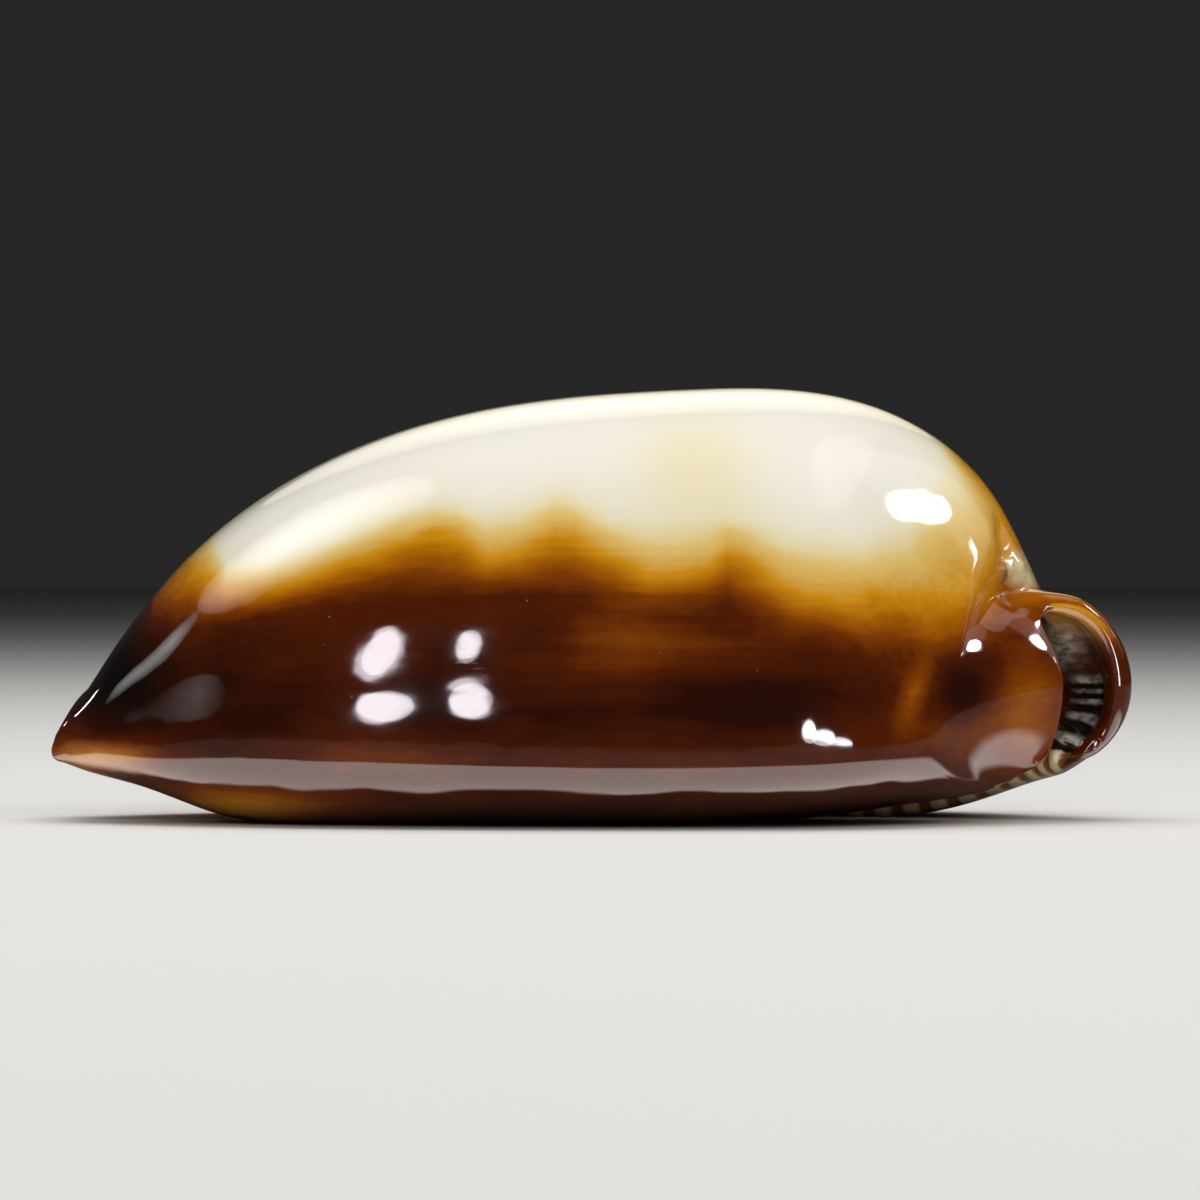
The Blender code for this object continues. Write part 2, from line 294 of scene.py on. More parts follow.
    def half_section(self, line: dict[str, np.ndarray], side: Side) -> tuple[np.ndarray, np.ndarray]:
        """Return one side of every section, from the lip edge to the crest.

        The outer path is the lip's rounded quarter, a rounded quarter up to the widest
        line and a dome to the crest. The inner path is the mouth's wall, a round corner
        and the same two curves inside the wall. Teeth are ridges round the lip.

        Args:
            line: The values of the rows.
            side: Which side of the mouth.

        Returns:
            Outer and inner points across and up, each of shape (rows, columns, 2).
        """
        name = "far" if side is Side.FAR else "near"
        half, keel, wide = line["half_" + name], line["keel_" + name], line["wide_" + name]
        end, crest = line["end"], line["crest"]
        lip = side.value * line["gap_mid"] + mix(*self.gap_half, end)
        rise = mix(*self.lip_rise, end)
        foot = lip + mix(*self.lip_run, end)
        power = 2.0 / self.sharpness
        angle = np.linspace(0.0, np.pi / 2.0, self.lip_steps + 1)
        roll = np.stack([foot - (foot - lip) * np.cos(angle) ** power,
                         keel + rise * (1.0 - np.sin(angle) ** power)], -1)
        angle = np.linspace(0.0, np.pi / 2.0, self.lower_steps + 1)
        out, down = np.sin(angle) ** power, np.cos(angle) ** power
        low = np.stack([foot + (half - foot) * out, wide - (wide - keel) * down], -1)
        angle = np.linspace(0.0, np.pi / 2.0, self.upper_steps + 1)
        side_share = np.cos(angle)
        lift = (np.sin(angle) + line["full"] * np.sin(3.0 * angle)) / (1.0 - line["full"])
        high = np.stack([half * side_share, wide + (crest - wide) * lift], -1)
        outer = np.concatenate([roll[:, :-1], low[:, :-1], high], 1)

        bend = mix(*self.corner, end)
        floor = keel + mix(*self.floor, end)
        roof = crest - mix(*self.wall_top, end)
        thick = self.wall_far if side is Side.FAR else self.wall_near
        room = np.maximum(half - mix(*thick, end), lip + bend + self.least_room)
        middle = np.maximum(wide, floor + self.least_middle * (roof - floor))
        straight = np.linspace(0.0, 1.0, self.lip_steps // 2 + 1)[:-1]
        wall = np.stack([lip + 0.0 * straight, mix(keel + rise, floor - bend, straight)], -1)
        round_steps = self.lip_steps - self.lip_steps // 2
        angle = np.linspace(0.0, np.pi / 2.0, round_steps + 1)[:-1]
        corner = np.stack([lip + bend * (1.0 - np.cos(angle)),
                           floor - bend * (1.0 - np.sin(angle))], -1)
        start = lip + bend
        low = np.stack([start + (room - start) * out, middle - (middle - floor) * down], -1)
        high = np.stack([room * side_share, middle + (roof - middle) * lift], -1)
        inner = np.concatenate([wall, corner, low[:, :-1], high], 1)
        self.raise_teeth(line, outer, inner)
        if side is Side.FAR:
            self.raise_ear_teeth(line, inner)
        return outer * (side.value, 1.0), inner * (side.value, 1.0)

    def raise_teeth(self, line: dict[str, np.ndarray], outer: np.ndarray, inner: np.ndarray) -> None:
        """Raise the teeth in place, as ridges round the lip that are strongest at its edge.

        A point of the lip strip moves out of the wall by the tooth height times a wave
        along the shell times the squared sine of its place across the strip.
        """
        steps = self.lip_steps
        strip = np.concatenate([outer[:, steps:0:-1], inner[:, :steps + 1]], 1)
        along = unit(np.gradient(strip, axis=1))
        facing = np.stack([along[..., 1], -along[..., 0]], -1)
        facing *= -np.sign(facing[:, steps:steps + 1, :1])
        grow = np.sin(np.linspace(0.0, np.pi, 2 * steps + 1)) ** 2
        strip = strip + facing * (self.tooth_height * line["wave"] * line["teeth"] * grow)[..., None]
        outer[:, steps:0:-1] = strip[:, :steps]
        inner[:, :steps + 1] = strip[:, steps:]
        outer[:, 0] = inner[:, 0]

    def ear_pattern(self, place: np.ndarray, height: np.ndarray) -> tuple[np.ndarray, np.ndarray]:
        """Return the strength and the wave of the teeth inside the ear.

        Args:
            place: Place along the shell of each point.
            height: Height of each point.

        Returns:
            Strength from 0 to 1, and the wave up the wall from 0 to 1.
        """
        low, top = self.ear_teeth[2], self.ear_teeth[-1]
        slope = self.ear_tooth_slope * (1.0 - ease(height, low, low + self.ear_slope_fade))
        level = height + slope * (place - self.ear_tooth_from)
        inside = 1.0 - ease(level, top + self.ear_top_fade[0], top + self.ear_top_fade[1])
        ramp_in, ramp_out = self.ear_tooth_ramps
        along = ease(place, self.ear_tooth_from, self.ear_tooth_from + ramp_in)
        along = along * (1.0 - ease(place, self.ear_tooth_to - ramp_out, self.ear_tooth_to))
        phase = np.interp(level, self.ear_teeth, np.arange(len(self.ear_teeth)))
        return inside * along, 0.5 + 0.5 * np.cos(2.0 * np.pi * phase)

    def raise_ear_teeth(self, line: dict[str, np.ndarray], inner: np.ndarray) -> None:
        """Raise the ear's inner teeth in place, as level ridges that end at an upright one."""
        height, top = inner[..., 1], self.ear_teeth[-1]
        strength, wave = self.ear_pattern(line["place"], height)
        edge = bell(line["place"] - self.ear_tooth_to, self.ear_ridge_width)
        edge = edge * ease(height, *self.ear_ridge_from)
        edge = edge * (1.0 - ease(height, top, top + self.ear_ridge_fade))
        inner[..., 0] -= self.ear_tooth_height * strength * wave + self.ear_ridge_height * edge

    def in_space(self, path: np.ndarray, line: dict[str, np.ndarray]) -> np.ndarray:
        """Return section points placed in space.

        Each section is turned about the upright and shifted at the rear, and bowed
        along the shell at both ends by the square of its height over the widest line.
        The rear end's near lobe is bowed by values of its own and ends further forward.

        Args:
            path: Points across and up.
            line: The values of the rows.

        Returns:
            Points of shape (rows, columns, 3), in millimetres.
        """
        across, height = path[..., 0], path[..., 1]
        turn = self.turn_angle * line["turn"]
        keel = 0.5 * (line["keel_far"] + line["keel_near"])
        wide = 0.5 * (line["wide_far"] + line["wide_near"])
        above = np.clip((height - wide) / (line["crest"] - wide), 0.0, self.bow_limit) ** 2
        below = np.clip((wide - height) / (wide - keel), 0.0, self.bow_limit) ** 2
        bow = line["front"] * (self.bow_front[0] * above + self.bow_front[1] * below)
        near = ease(-across, -self.near_blend, self.near_blend)
        top, base = (mix(*ends, near) for ends in zip(self.bow_rear, self.bow_near))
        bow = bow - line["rear"] * (top * above + base * below + self.back_near * near)
        x = line["place"] + bow + across * np.sin(turn)
        y = self.rear_shift * line["turn"] + across * np.cos(turn)
        return np.stack([x, y, height], -1)

    def rim(self, outer: np.ndarray, inner: np.ndarray) -> tuple[np.ndarray, np.ndarray]:
        """Return the rows that round the wall off beyond its last row.

        Each column follows a cubic curve that leaves along the outer face and comes
        back along the inner face; both halves meet on its middle. Next to the lip
        edges all columns leave along the canal instead.

        Args:
            outer: Outer points of the rows up to the end.
            inner: Inner points of the same rows.

        Returns:
            Outer half and inner half of the rim's rows, from the wall to its edge.
        """
        width = np.linalg.norm(inner[-1] - outer[-1], axis=1, keepdims=True)
        reach = self.rim_reach * np.hypot(width, self.rim_at_lip)
        own = ease(width, 0.0, self.rim_own_width)
        canal = unit((inner[-1] - inner[-2]).mean(axis=0))
        ways = [unit(mix(canal, unit(face[-1] - face[-2]), own)) for face in (outer, inner)]
        corners = (outer[-1], outer[-1] + reach * ways[0], inner[-1] + reach * ways[1], inner[-1])
        part = (0.5 * np.arange(1, self.rim_steps + 1) / self.rim_steps)[:, None, None]

        def curve(t: np.ndarray) -> np.ndarray:
            """Return the cubic curve with those corners at each part of its way."""
            weights = ((1 - t) ** 3, 3 * (1 - t) ** 2 * t, 3 * (1 - t) * t ** 2, t ** 3)
            return sum(weight * corner for weight, corner in zip(weights, corners))

        return curve(part), curve(1.0 - part)


@dataclass
class ShellGrid:
    """The wall's points as one closed grid, with what is known of each point."""

    form: ShellForm
    pale_depth: tuple = (0.35, 1.4)
    pale_rear: tuple = (24.0, 27.5)
    pale_front: tuple = (29.0, 31.5)
    ear_start: tuple = (25.5, 27.0)
    ear_painted_light_edge: tuple = (-0.5, 1.5)

    def __post_init__(self) -> None:
        """Work the grid out once."""
        form = self.form
        self.line = form.stations()
        far = form.half_section(self.line, Side.FAR)
        near = form.half_section(self.line, Side.NEAR)
        outer = form.in_space(np.concatenate([far[0], near[0][:, -2::-1]], 1), self.line)
        inner = form.in_space(np.concatenate([far[1], near[1][:, -2::-1]], 1), self.line)
        front = form.rim(outer[::-1], inner[::-1])
        rear = form.rim(outer, inner)
        self.outer_count = outer.shape[1]
        rows = [np.concatenate(part) for part in (
            (front[0][::-1], outer, rear[0]), (front[1][::-1], inner, rear[1]))]
        self.points, self.crease_shade = self.carved(self.ring(*rows))

    def ring(self, outer: np.ndarray, inner: np.ndarray) -> np.ndarray:
        """Return rings from the outer values and the inner values run back, lips shared."""
        outer, inner = np.atleast_2d(outer), np.atleast_2d(inner)
        return np.concatenate([outer, inner[:, -2:0:-1]], 1)

    def spread(self, values: np.ndarray) -> np.ndarray:
        """Return one value for each row of the wall, held over the rim's rows too."""
        steps = self.form.rim_steps
        return np.pad(values[:, 0], (steps, steps), mode="edge")[:, None]

    def carved(self, points: np.ndarray) -> tuple[np.ndarray, np.ndarray]:
        """Return the rings with the fold and the callus on the outer face.

        Args:
            points: The rings without them.

        Returns:
            The rings, and how dark the fold's painted shade makes each point, from 0 to 1.
        """
        facing = unit(np.cross(np.gradient(points, axis=0), np.gradient(points, axis=1)))
        away = points - points.mean(axis=1, keepdims=True)
        facing *= np.sign(np.sum(facing * away, axis=2))[..., None]
        lift, shade = self.form.crease.lift(points)
        for lump in self.form.lumps:
            lift = lift + lump.lift(points)
        lift[:, self.outer_count:] = 0.0
        shade[:, self.outer_count:] = 0.0
        return points + facing * lift[..., None], shade

    def fitted(self) -> np.ndarray:
        """Return the points in metres, cut flat at the base and set in the solid's box.

        Returns:
            The points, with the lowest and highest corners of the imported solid.
        """
        points = self.points.copy()
        points[..., 2] = np.maximum(points[..., 2], 0.0)
        low, high = points.min(axis=(0, 1)), points.max(axis=(0, 1))
        box_low, box_high = (np.array(corner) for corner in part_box("shell"))
        return box_low + (points - low) * (box_high - box_low) / (high - low)

    def faces(self) -> np.ndarray:
        """Return the four corners of every face, with the rim's two halves joined.

        Returns:
            Point numbers of shape (faces, 4), in the flat order of the grid.
        """
        rows, ring = self.points.shape[:2]
        number = np.arange(rows * ring).reshape(rows, ring)
        paired = np.arange(self.outer_count - 2, self.outer_count - 2 - (ring - self.outer_count), -1)
        for row in (0, rows - 1):
            number[row, self.outer_count:] = number[row, paired]
        beside = np.roll(number, -1, axis=1)
        corners = (number[:-1], beside[:-1], beside[1:], number[1:])
        return np.stack(corners, -1).reshape(-1, 4)

    def in_ear(self) -> np.ndarray:
        """Return where the far side's inner face is part of the ear, from 0 to 1."""
        inner = 1.0 * (np.arange(self.outer_count) <= self.outer_count // 2)
        return self.ring(0.0 * inner, inner) * ease(self.spread(self.line["place"]), *self.ear_start)

    def ear_painted_light(self) -> np.ndarray:
        """Return where the ear's inner face is lighter over its teeth, partly its own paler colour and
        partly painted light against the shade in the ear, from 0 to 1.
        """
        over = self.points[..., 2] - self.form.cloud_at[1]
        return self.in_ear() * ease(over, *self.ear_painted_light_edge)

    def masks(self) -> dict[str, np.ndarray]:
        """Return what the finish needs to know of each point, from 0 to 1.

        Returns:
            Named grids: tooth is the ridges of the lips and teeth the strength of
            their colours, inside the pale inner face, ear the toothed part of the
            ear with ear_tooth its ridges, cloud the pale patch over them, partly
            painted light, and crease the fold's painted shade.
        """
        form = self.form
        column = np.arange(self.outer_count)
        from_lip = np.minimum(column, self.outer_count - 1 - column) / form.lip_steps
        near_lip = np.clip(1.0 - from_lip, 0.0, 1.0)
        depth = ease(from_lip, *self.pale_depth)[None]
        place = self.spread(self.line["place"])
        pale = 1.0 - ease(place, *self.pale_rear) - ease(-place, *self.pale_front)
        inside = self.ring(0.0 * depth * pale, depth * pale)
        teeth = self.spread(self.line["teeth"]) * self.ring(near_lip, near_lip) ** 0.5
        x, height = self.points[..., 0], self.points[..., 2]
        strength, wave = form.ear_pattern(place, height)
        in_ear = self.in_ear()
        cloud = bell(x - form.cloud_at[0], form.cloud_reach[0])
        cloud = cloud * bell(height - form.cloud_at[1], form.cloud_reach[1])
        return {
            "tooth": self.spread(self.line["wave"]) + np.zeros_like(height),
            "teeth": teeth,
            "inside": inside,
            "ear": strength * in_ear,
            "ear_tooth": wave,
            "cloud": cloud * in_ear,
            "crease": self.crease_shade,
        }


@dataclass(frozen=True)
class Patch:
    """A soft oval patch of more or less pigment on one side of the shell."""

    x: float
    z: float
    along: float
    up: float
    change: float
    tilt: float = 0.0

    def at(self, x: np.ndarray, z: np.ndarray) -> np.ndarray:
        """Return the change of pigment at the points, a bell over a tilted oval."""
        turn = np.radians(self.tilt)
        run = (x - self.x) * np.cos(turn) + (z - self.z) * np.sin(turn)
        rise = (z - self.z) * np.cos(turn) - (x - self.x) * np.sin(turn)
        return self.change * np.exp(-(run / self.along) ** 2 - (rise / self.up) ** 2)


@dataclass(frozen=True)
class SideColours:
    """How the brown pigment lies on one side, as three lines along the shell.

    Each row of lines is a place along the shell and the heights there of the cream's
    lower edge, of the amber and of the dark brown.
    """

    lines: tuple
    patches: tuple
    rear_edge: tuple = ((13.0, 26.6), (15.0, 26.3), (20.2, 25.6), (23.4, 22.9), (25.0, 22.3))
    rear_blend: tuple = (-0.6, 1.4)
    rear_amber: float = 0.3
    tail: float = 0.05
    tail_height: float = 1.2
    amber_step: float = 0.28
    dark_step: float = 0.35

    def pigment(self, x: np.ndarray, z: np.ndarray) -> np.ndarray:
        """Return the pigment's thickness, 0 on cream and about 0.7 on dark brown.

        Between the three lines it changes evenly with height, and above them it
        dies away over a millimetre or so. Behind the rear edge, a line of heights and
        places, it is amber at least. Patches are added to it.

        Args:
            x: Place along the shell of each point, in millimetres.
            z: Height of each point, in millimetres.

        Returns:
            The thickness at each point.
        """
        table = np.array(self.lines)
        cream, amber, dark = (np.interp(x, table[:, 0], table[:, i]) for i in (1, 2, 3))
        first = np.clip((cream - z) / (cream - amber), 0.0, 1.0)
        second = np.clip((amber - z) / (amber - dark), 0.0, 1.0)
        tail = self.tail * np.exp(-np.clip(z - cream, 0.0, None) / self.tail_height)
        total = tail + self.amber_step * first + self.dark_step * second
        edge = np.array(self.rear_edge)
        behind = ease(x - np.interp(z, edge[:, 0], edge[:, 1]), *self.rear_blend)
        total = mix(total, np.maximum(total, self.rear_amber), behind)
        for patch in self.patches:
            total = total + patch.at(x, z)
        return total


NEAR_COLOURS = SideColours(
    lines=(
        (-36.0, 24.0, 22.0, 20.0), (-28.9, 20.0, 18.5, 17.0), (-28.3, 20.0, 16.6, 12.6),
        (-26.3, 20.2, 16.8, 12.6), (-24.5, 18.4, 15.6, 12.5), (-23.3, 16.5, 14.8, 12.8),
        (-20.4, 16.6, 15.2, 13.3), (-17.7, 17.6, 15.8, 13.9), (-14.0, 19.2, 17.2, 14.5),
        (-12.2, 19.9, 17.9, 14.7),
        (-10.0, 20.4, 18.6, 14.5), (-8.4, 20.2, 18.4, 14.4), (-6.7, 19.5, 17.1, 14.5),
        (-4.7, 19.9, 17.3, 14.6), (-2.4, 21.0, 18.4, 14.8), (-1.2, 20.8, 18.3, 14.8),
        (0.3, 19.8, 17.3, 14.5), (1.9, 19.1, 16.5, 14.1), (3.6, 18.8, 15.7, 13.7),
        (5.4, 18.9, 15.8, 13.7), (7.3, 19.1, 16.5, 14.0), (8.4, 19.5, 17.5, 14.2),
        (9.5, 19.2, 17.2, 13.3), (11.1, 18.6, 15.9, 12.7), (12.0, 18.2, 15.2, 12.4),
        (13.5, 18.0, 14.7, 12.1), (17.0, 17.9, 14.4, 11.4), (20.0, 19.0, 14.3, 10.9),
        (22.0, 21.5, 14.4, 10.8), (23.6, 22.8, 14.5, 10.7), (25.0, 24.5, 15.2, 11.0),
        (26.5, 24.5, 17.5, 12.0), (36.0, 25.0, 18.0, 10.0),
    ),
    patches=(
        Patch(2.0, 11.7, 3.4, 1.9, -0.1), Patch(8.5, 8.0, 6.0, 1.8, 0.15),
        Patch(9.0, 11.4, 12.0, 1.8, -0.05), Patch(-5.0, 7.6, 8.0, 2.2, 0.1),
        Patch(20.2, 8.6, 0.9, 2.6, -0.18, -22.0),
        Patch(-9.0, 11.5, 3.0, 2.0, 0.05), Patch(13.0, 8.5, 3.0, 2.2, 0.08),
        Patch(23.7, 8.4, 2.3, 1.8, 0.13, 50.0), Patch(27.8, 6.8, 2.8, 3.4, -0.18),
        Patch(23.2, 6.0, 2.5, 1.4, -0.1), Patch(-23.0, 8.0, 6.0, 3.4, 0.11),
        Patch(-31.0, 9.6, 3.2, 3.0, 0.3), Patch(-31.5, 4.2, 3.6, 1.0, -0.36),
        # Patch(-23.0, 0.8, ...) pales the front of the base: partly its own amber, partly painted light
        # against the shade where the shell meets the floor.
        Patch(-23.0, 0.8, 7.0, 1.4, -0.42), Patch(-14.0, 4.6, 12.0, 1.1, -0.07),
        Patch(6.4, 22.6, 4.0, 3.6, 0.055), Patch(-11.0, 8.2, 2.0, 1.6, 0.07),
    ),
)

FAR_COLOURS = SideColours(
    lines=(
        (-36.0, 24.0, 22.0, 20.0), (-28.9, 20.0, 18.5, 17.0), (-28.0, 19.0, 17.0, 13.5),
        (-25.0, 20.5, 18.4, 14.8), (-22.5, 22.2, 19.6, 14.8), (-20.5, 21.4, 18.8, 14.6),
        (-18.0, 19.4, 17.2, 14.4),
        (-15.0, 18.0, 15.9, 14.2), (-11.0, 18.8, 16.4, 14.4), (-8.0, 20.6, 18.6, 15.2),
        (-5.0, 20.2, 18.1, 15.2), (-2.5, 18.9, 16.4, 14.6), (1.5, 19.2, 16.7, 14.4),
        (4.5, 20.7, 18.7, 15.0), (7.0, 20.4, 18.3, 14.9), (9.5, 19.0, 16.2, 14.0),
        (14.0, 18.4, 15.4, 13.2), (17.0, 19.4, 17.0, 13.4), (20.0, 19.6, 16.8, 13.0),
        (22.5, 21.0, 17.0, 12.6), (25.0, 23.5, 17.0, 12.2), (26.5, 24.5, 18.0, 12.0),
        (36.0, 25.0, 18.0, 10.0),
    ),
    patches=(
        Patch(-12.0, 11.0, 3.4, 1.4, -0.13), Patch(-3.0, 7.6, 6.0, 2.0, 0.15),
        Patch(10.5, 10.8, 4.0, 1.3, -0.12), Patch(14.0, 7.2, 4.5, 2.0, 0.12),
        Patch(-20.5, 8.4, 4.0, 2.0, 0.1), Patch(-31.0, 9.6, 3.2, 3.0, 0.3),
        Patch(-31.5, 4.2, 3.6, 1.0, -0.42), Patch(-24.0, 1.6, 5.0, 1.7, -0.35),
        Patch(21.5, 8.0, 1.6, 2.4, -0.16, 20.0), Patch(30.5, 12.5, 3.2, 2.0, -0.06),
        Patch(-8.5, 23.0, 4.0, 3.0, 0.05), Patch(12.5, 24.0, 4.5, 3.0, 0.05),
    ),
)


def linear(red: int, green: int, blue: int) -> tuple[float, float, float, float]:
    """Return the linear colour of an sRGB one with parts from 0 to 255."""
    share = np.array((red, green, blue)) / 255.0
    value = np.where(share <= 0.04045, share / 12.92, ((share + 0.055) / 1.055) ** 2.4)
    return (*value.tolist(), 1.0)


class NodeBench:
    """Adds and links the nodes of one node tree."""

    def __init__(self, tree: bpy.types.NodeTree) -> None:
        """Keep the tree that the nodes go in."""
        self.tree = tree

    def add(self, kind: str, inputs: dict | None = None, **settings: object) -> bpy.types.Node:
        """Add one node.

        Args:
            kind: Blender's name of the node type.
            inputs: Values or sockets for its inputs, by name or number.
            settings: Properties of the node.

        Returns:
            The new node.
        """
        node = self.tree.nodes.new(kind)
        for name, value in settings.items():
            setattr(node, name, value)
        for key, value in (inputs or {}).items():
            if isinstance(value, bpy.types.NodeSocket):
                self.tree.links.new(value, node.inputs[key])
            else:
                node.inputs[key].default_value = value
        return node

    def math(self, operation: str, *values: object, clamp: bool = False) -> bpy.types.NodeSocket:
        """Return the result of a Math node on the values."""
        node = self.add("ShaderNodeMath", dict(enumerate(values)), operation=operation, use_clamp=clamp)
        return node.outputs[0]

    def attribute(self, name: str) -> bpy.types.NodeSocket:
        """Return one of the mesh's own number attributes."""
        return self.add("ShaderNodeAttribute", attribute_name=name).outputs["Fac"]

    def span(self, value: object, low: float, high: float, to_low: float = 0.0,
             to_high: float = 1.0) -> bpy.types.NodeSocket:
        """Return the value mapped smoothly from one range to another."""
        node = self.add("ShaderNodeMapRange", {0: value, 1: low, 2: high, 3: to_low, 4: to_high},
                        interpolation_type="SMOOTHSTEP")
        return node.outputs[0]

    def stretched(self, size: tuple[float, float, float]) -> bpy.types.NodeSocket:
        """Return object coordinates counted in cells of that size in millimetres."""
        place = self.add("ShaderNodeTexCoord").outputs["Object"]
        scale = tuple(1.0 / (MM * side) for side in size)
        return self.add("ShaderNodeMapping", {"Vector": place, "Scale": scale}).outputs[0]

    def noise(self, size: tuple[float, float, float], detail: float = 2.0,
              roughness: float = 0.5) -> bpy.types.NodeSocket:
        """Return smooth noise from about 0 to 1 with cells of that size in millimetres."""
        node = self.add("ShaderNodeTexNoise", {
            "Vector": self.stretched(size), "Scale": 1.0, "Detail": detail, "Roughness": roughness})
        return node.outputs["Fac"]

    def blend(self, part: object, first: object, second: object) -> bpy.types.NodeSocket:
        """Return a mix of two colours."""
        return self.add("ShaderNodeMix", {0: part, 6: first, 7: second}, data_type="RGBA").outputs[2]

    def ramp(self, value: object, stops: tuple) -> bpy.types.NodeSocket:
        """Return the colour at a value, between stops of a place and an sRGB colour."""
        node = self.add("ShaderNodeValToRGB", {0: value})
        points = node.color_ramp.elements
        while len(points) < len(stops):
            points.new(0.5)
        for point, (place, colour) in zip(points, stops):
            point.position = place
            point.color = linear(*colour)
        return node.outputs[0]


@dataclass(frozen=True)
class ShellFinish:
    """The polished enamel: cream under a brown pigment of changing thickness."""

    pigment_stops: tuple = (
        (0.0, (247, 243, 232)), (0.06, (244, 233, 194)), (0.16, (237, 205, 122)),
        (0.32, (218, 152, 22)), (0.44, (182, 106, 3)), (0.55, (134, 64, 2)),
        (0.66, (86, 30, 2)), (0.78, (48, 13, 2)), (0.9, (25, 7, 3)), (1.0, (10, 4, 3)),
    )
    # The teeth's own cream and the grooves' own brown, both lightened as painted light where the toothed
    # strip faces down into shade.
    painted_lit_tooth_colour: tuple = (236, 214, 164)
    painted_lit_groove_colour: tuple = (158, 94, 46)
    inside_colour: tuple = (196, 186, 178)
    ear_colour: tuple = (206, 206, 192)
    ear_groove: tuple = (34, 21, 16)
    # The cloud's pale colour is partly painted light, lifted against the shade in the ear.
    cloud_colour: tuple = (236, 232, 216)
    callus_colour: tuple = (222, 216, 172)
    painted_crease_shade_colour: tuple = (52, 24, 14)
    fleck_colour: tuple = (130, 100, 84)
    pigment_noise: tuple = (
        ((6.5, 4.0, 3.2), 3.0, 0.55, 0.17), ((9.0, 0.8, 0.42), 3.0, 0.6, 0.08),
        ((0.9, 0.7, 0.55), 2.0, 0.5, 0.03),
    )
    pigment_edge: tuple = (0.02, 0.3)
    fleck_cell: float = 2.4
    fleck_edge: tuple = (0.035, 0.02)
    fleck_from: tuple = (0.4, 0.6)
    vein_noise: tuple = ((0.9, 0.7, 0.6), 3.0)
    vein_range: tuple = (0.3, 0.7, 0.55, 1.0)
    painted_crease_shade_strength: float = 0.85
    tooth_edge: tuple = (0.25, 0.7)
    teeth_edge: tuple = (0.12, 0.45)
    inside_edge: tuple = (0.3, 0.9)
    wisp_noise: tuple = ((0.9, 1.2, 0.5), 3.0, 0.6)
    wisp_range: tuple = (0.36, 0.66, 0.25, 1.0)
    cloud_painted_light_strength: float = 1.6
    ridge_edge: tuple = (0.35, 0.9)
    roughness: float = 0.045
    haze_noise: tuple = ((5.0, 5.0, 4.0), 3.0)
    haze_range: tuple = (0.35, 0.75, 0.0, 0.03)
    scratch_roughness: float = 0.06
    inside_roughness: float = 0.16
    teeth_roughness: float = 0.06
    index: float = 1.58
    coat: float = 0.6
    coat_roughness: float = 0.03
    wave_noise: tuple = ((7.0, 5.0, 4.0), 2.0, 0.45)
    wave_height: float = 0.08
    scratch_noise: tuple = ((3.2, 0.09, 0.07), 1.0)
    scratch_edge: tuple = (0.66, 0.74)
    scratch_area: tuple = ((7.0, 5.0, 3.5), 2.0)
    scratch_area_edge: tuple = (0.5, 0.66)
    scratch_height: float = 0.0004

    def material(self) -> bpy.types.Material:
        """Return the shell's material."""
        material = bpy.data.materials.new("polished_enamel")
        material.use_nodes = True
        tree = material.node_tree
        shader = tree.nodes["Principled BSDF"]
        bench = NodeBench(tree)
        scratches = self.scratches(bench)
        tree.links.new(self.colour(bench), shader.inputs["Base Color"])
        tree.links.new(self.gloss(bench, scratches), shader.inputs["Roughness"])
        tree.links.new(self.relief(bench, scratches), shader.inputs["Normal"])
        shader.inputs["IOR"].default_value = self.index
        shader.inputs["Coat Weight"].default_value = self.coat
        shader.inputs["Coat Roughness"].default_value = self.coat_roughness
        return material

    def scratches(self, bench: NodeBench) -> bpy.types.NodeSocket:
        """Return a mask of fine handling scratches, most of them along the shell."""
        streak = bench.span(bench.noise(*self.scratch_noise), *self.scratch_edge)
        where = bench.span(bench.noise(*self.scratch_area), *self.scratch_area_edge)
        return bench.math("MULTIPLY", streak, where)

    def thickness(self, bench: NodeBench) -> bpy.types.NodeSocket:
        """Return the pigment's thickness with its clouds, streaks and fine grain."""
        base = bench.attribute("pigment")
        moved = 0.0
        for size, detail, roughness, amount in self.pigment_noise:
            swing = bench.math("SUBTRACT", bench.noise(size, detail, roughness), 0.5)
            moved = bench.math("MULTIPLY_ADD", swing, amount, moved)
        reach = bench.span(base, *self.pigment_edge)
        return bench.math("MULTIPLY_ADD", moved, reach, base, clamp=True)

    def colour(self, bench: NodeBench) -> bpy.types.NodeSocket:
        """Return the colour over the whole surface, with the mouth laid over the rest."""
        colour = self.enamel_colour(bench)
        tooth = bench.span(bench.attribute("tooth"), *self.tooth_edge)
        # Stripes of the lips' teeth, lightened as painted light on the shaded strip.
        striped = bench.blend(tooth, linear(*self.painted_lit_groove_colour), linear(*self.painted_lit_tooth_colour))
        colour = bench.blend(bench.span(bench.attribute("teeth"), *self.teeth_edge), colour, striped)
        inside = bench.span(bench.attribute("inside"), *self.inside_edge)
        colour = bench.blend(inside, colour, linear(*self.inside_colour))
        return self.with_ear(bench, colour)

